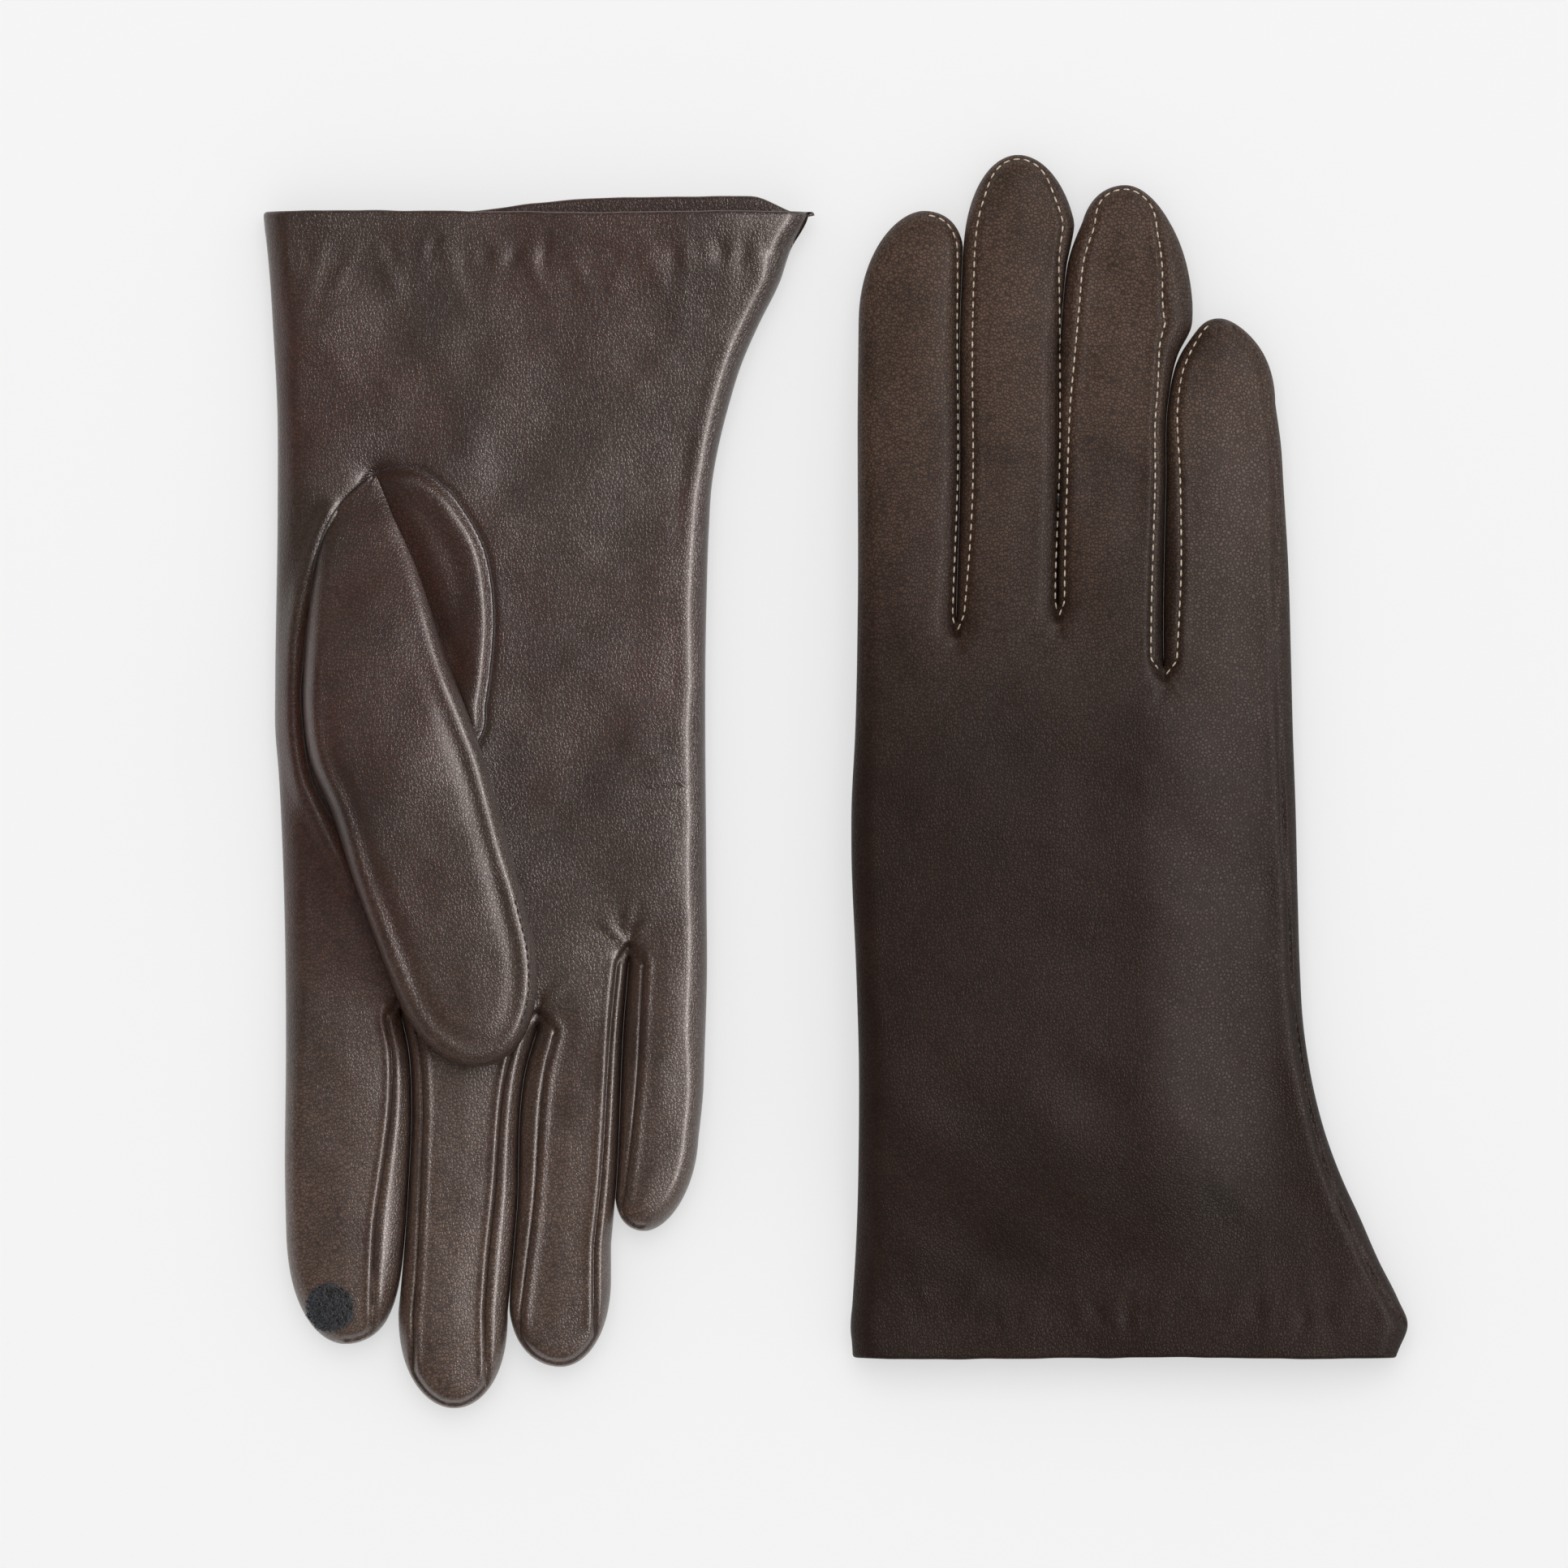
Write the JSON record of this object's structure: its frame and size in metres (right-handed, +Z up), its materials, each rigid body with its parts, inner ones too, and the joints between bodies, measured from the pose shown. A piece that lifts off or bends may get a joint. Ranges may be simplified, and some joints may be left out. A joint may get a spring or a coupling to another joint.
{
  "type": "leather touchscreen gloves",
  "caption": "Lined leather dress gloves laid flat, one palm up with its thumb folded across and one back up, with a touch patch on the index fingertip.",
  "frame": {"origin": "centre of the bounding box of both gloves, on the surface they lie on", "axes": "+Z up from that surface, +Y along the fingers of the glove that lies back up, +X towards that glove"},
  "size_m": [0.235, 0.2571, 0.0184],
  "materials": {
    "leather": "semi-matt dark brown sheep leather with a fine pebble grain",
    "leather_inside": "napped inner side of the turned-in hem",
    "lining": "soft dark brown-grey knit",
    "beige_thread": "matt beige sewing thread",
    "tonal_thread": "matt dark brown sewing thread",
    "conductive_thread": "fuzzy dark blue-grey conductive embroidery"
  },
  "bodies": {
    "palm_up_hand": {"palm_up_hand_leather": "leather", "palm_up_hand_lining": "lining", "palm_up_hem_facing": "leather_inside", "palm_up_side_seam_thread": "tonal_thread", "palm_up_thumb_gusset": "leather"},
    "palm_up_index": {"palm_up_index_leather": "leather", "palm_up_index_lining": "lining", "palm_up_index_inner_fourchette": "leather", "palm_up_index_topstitch": "beige_thread", "palm_up_touch_patch": "conductive_thread"},
    "palm_up_middle": {"palm_up_middle_leather": "leather", "palm_up_middle_lining": "lining", "palm_up_middle_outer_fourchette": "leather", "palm_up_middle_inner_fourchette": "leather", "palm_up_middle_topstitch": "beige_thread"},
    "palm_up_ring": {"palm_up_ring_leather": "leather", "palm_up_ring_lining": "lining", "palm_up_ring_outer_fourchette": "leather", "palm_up_ring_inner_fourchette": "leather", "palm_up_ring_topstitch": "beige_thread"},
    "palm_up_little": {"palm_up_little_leather": "leather", "palm_up_little_lining": "lining", "palm_up_little_outer_fourchette": "leather", "palm_up_little_topstitch": "beige_thread"},
    "palm_up_thumb": {"palm_up_thumb_leather": "leather", "palm_up_thumb_lining": "lining", "palm_up_thumb_seam_thread": "tonal_thread"},
    "back_up_hand": {"back_up_hand_leather": "leather", "back_up_hand_lining": "lining", "back_up_hem_facing": "leather_inside", "back_up_side_seam_thread": "tonal_thread", "back_up_thumb_gusset": "leather"},
    "back_up_index": {"back_up_index_leather": "leather", "back_up_index_lining": "lining", "back_up_index_inner_fourchette": "leather", "back_up_index_topstitch": "beige_thread", "back_up_touch_patch": "conductive_thread"},
    "back_up_middle": {"back_up_middle_leather": "leather", "back_up_middle_lining": "lining", "back_up_middle_outer_fourchette": "leather", "back_up_middle_inner_fourchette": "leather", "back_up_middle_topstitch": "beige_thread"},
    "back_up_ring": {"back_up_ring_leather": "leather", "back_up_ring_lining": "lining", "back_up_ring_outer_fourchette": "leather", "back_up_ring_inner_fourchette": "leather", "back_up_ring_topstitch": "beige_thread"},
    "back_up_little": {"back_up_little_leather": "leather", "back_up_little_lining": "lining", "back_up_little_outer_fourchette": "leather", "back_up_little_topstitch": "beige_thread"},
    "back_up_thumb": {"back_up_thumb_leather": "leather", "back_up_thumb_lining": "lining", "back_up_thumb_seam_thread": "tonal_thread"}
  },
  "joints": [
    {"name": "palm_up_index_curl", "type": "hinge", "parent": "palm_up_hand", "child": "palm_up_index", "pos_m": [-0.0995, -0.0692, 0.01], "axis": [-1, 0, 0], "range_deg": [0, 70]},
    {"name": "palm_up_middle_curl", "type": "hinge", "parent": "palm_up_hand", "child": "palm_up_middle", "pos_m": [-0.075, -0.0732, 0.01], "axis": [-1, 0, 0], "range_deg": [0, 70]},
    {"name": "palm_up_ring_curl", "type": "hinge", "parent": "palm_up_hand", "child": "palm_up_ring", "pos_m": [-0.0537, -0.0712, 0.01], "axis": [-1, 0, 0], "range_deg": [0, 70]},
    {"name": "palm_up_little_curl", "type": "hinge", "parent": "palm_up_hand", "child": "palm_up_little", "pos_m": [-0.0353, -0.0572, 0.01], "axis": [-1, 0, 0], "range_deg": [0, 70]},
    {"name": "palm_up_thumb_lift", "type": "hinge", "parent": "palm_up_hand", "child": "palm_up_thumb", "pos_m": [-0.093, 0.0508, 0.0103], "axis": [-0.9798, -0.2, 0], "range_deg": [0, 60]},
    {"name": "gloves_apart", "type": "slide", "parent": "palm_up_hand", "child": "back_up_hand", "axis": [1, 0, 0], "range_m": [0, 0.12]},
    {"name": "back_up_index_lift", "type": "hinge", "parent": "back_up_hand", "child": "back_up_index", "pos_m": [0.0155, 0.0675, 0.0174], "axis": [1, 0, 0], "range_deg": [0, 45]},
    {"name": "back_up_middle_lift", "type": "hinge", "parent": "back_up_hand", "child": "back_up_middle", "pos_m": [0.036, 0.0715, 0.0169], "axis": [1, 0, 0], "range_deg": [0, 45]},
    {"name": "back_up_ring_lift", "type": "hinge", "parent": "back_up_hand", "child": "back_up_ring", "pos_m": [0.057, 0.0695, 0.01715], "axis": [1, 0, 0], "range_deg": [0, 45]},
    {"name": "back_up_little_lift", "type": "hinge", "parent": "back_up_hand", "child": "back_up_little", "pos_m": [0.08, 0.0555, 0.0175], "axis": [1, 0, 0], "range_deg": [0, 45]},
    {"name": "back_up_thumb_swing", "type": "hinge", "parent": "back_up_hand", "child": "back_up_thumb", "pos_m": [0.0265, -0.0525, 0.004], "axis": [0, 0, 1], "range_deg": [0, 30]}
  ]
}
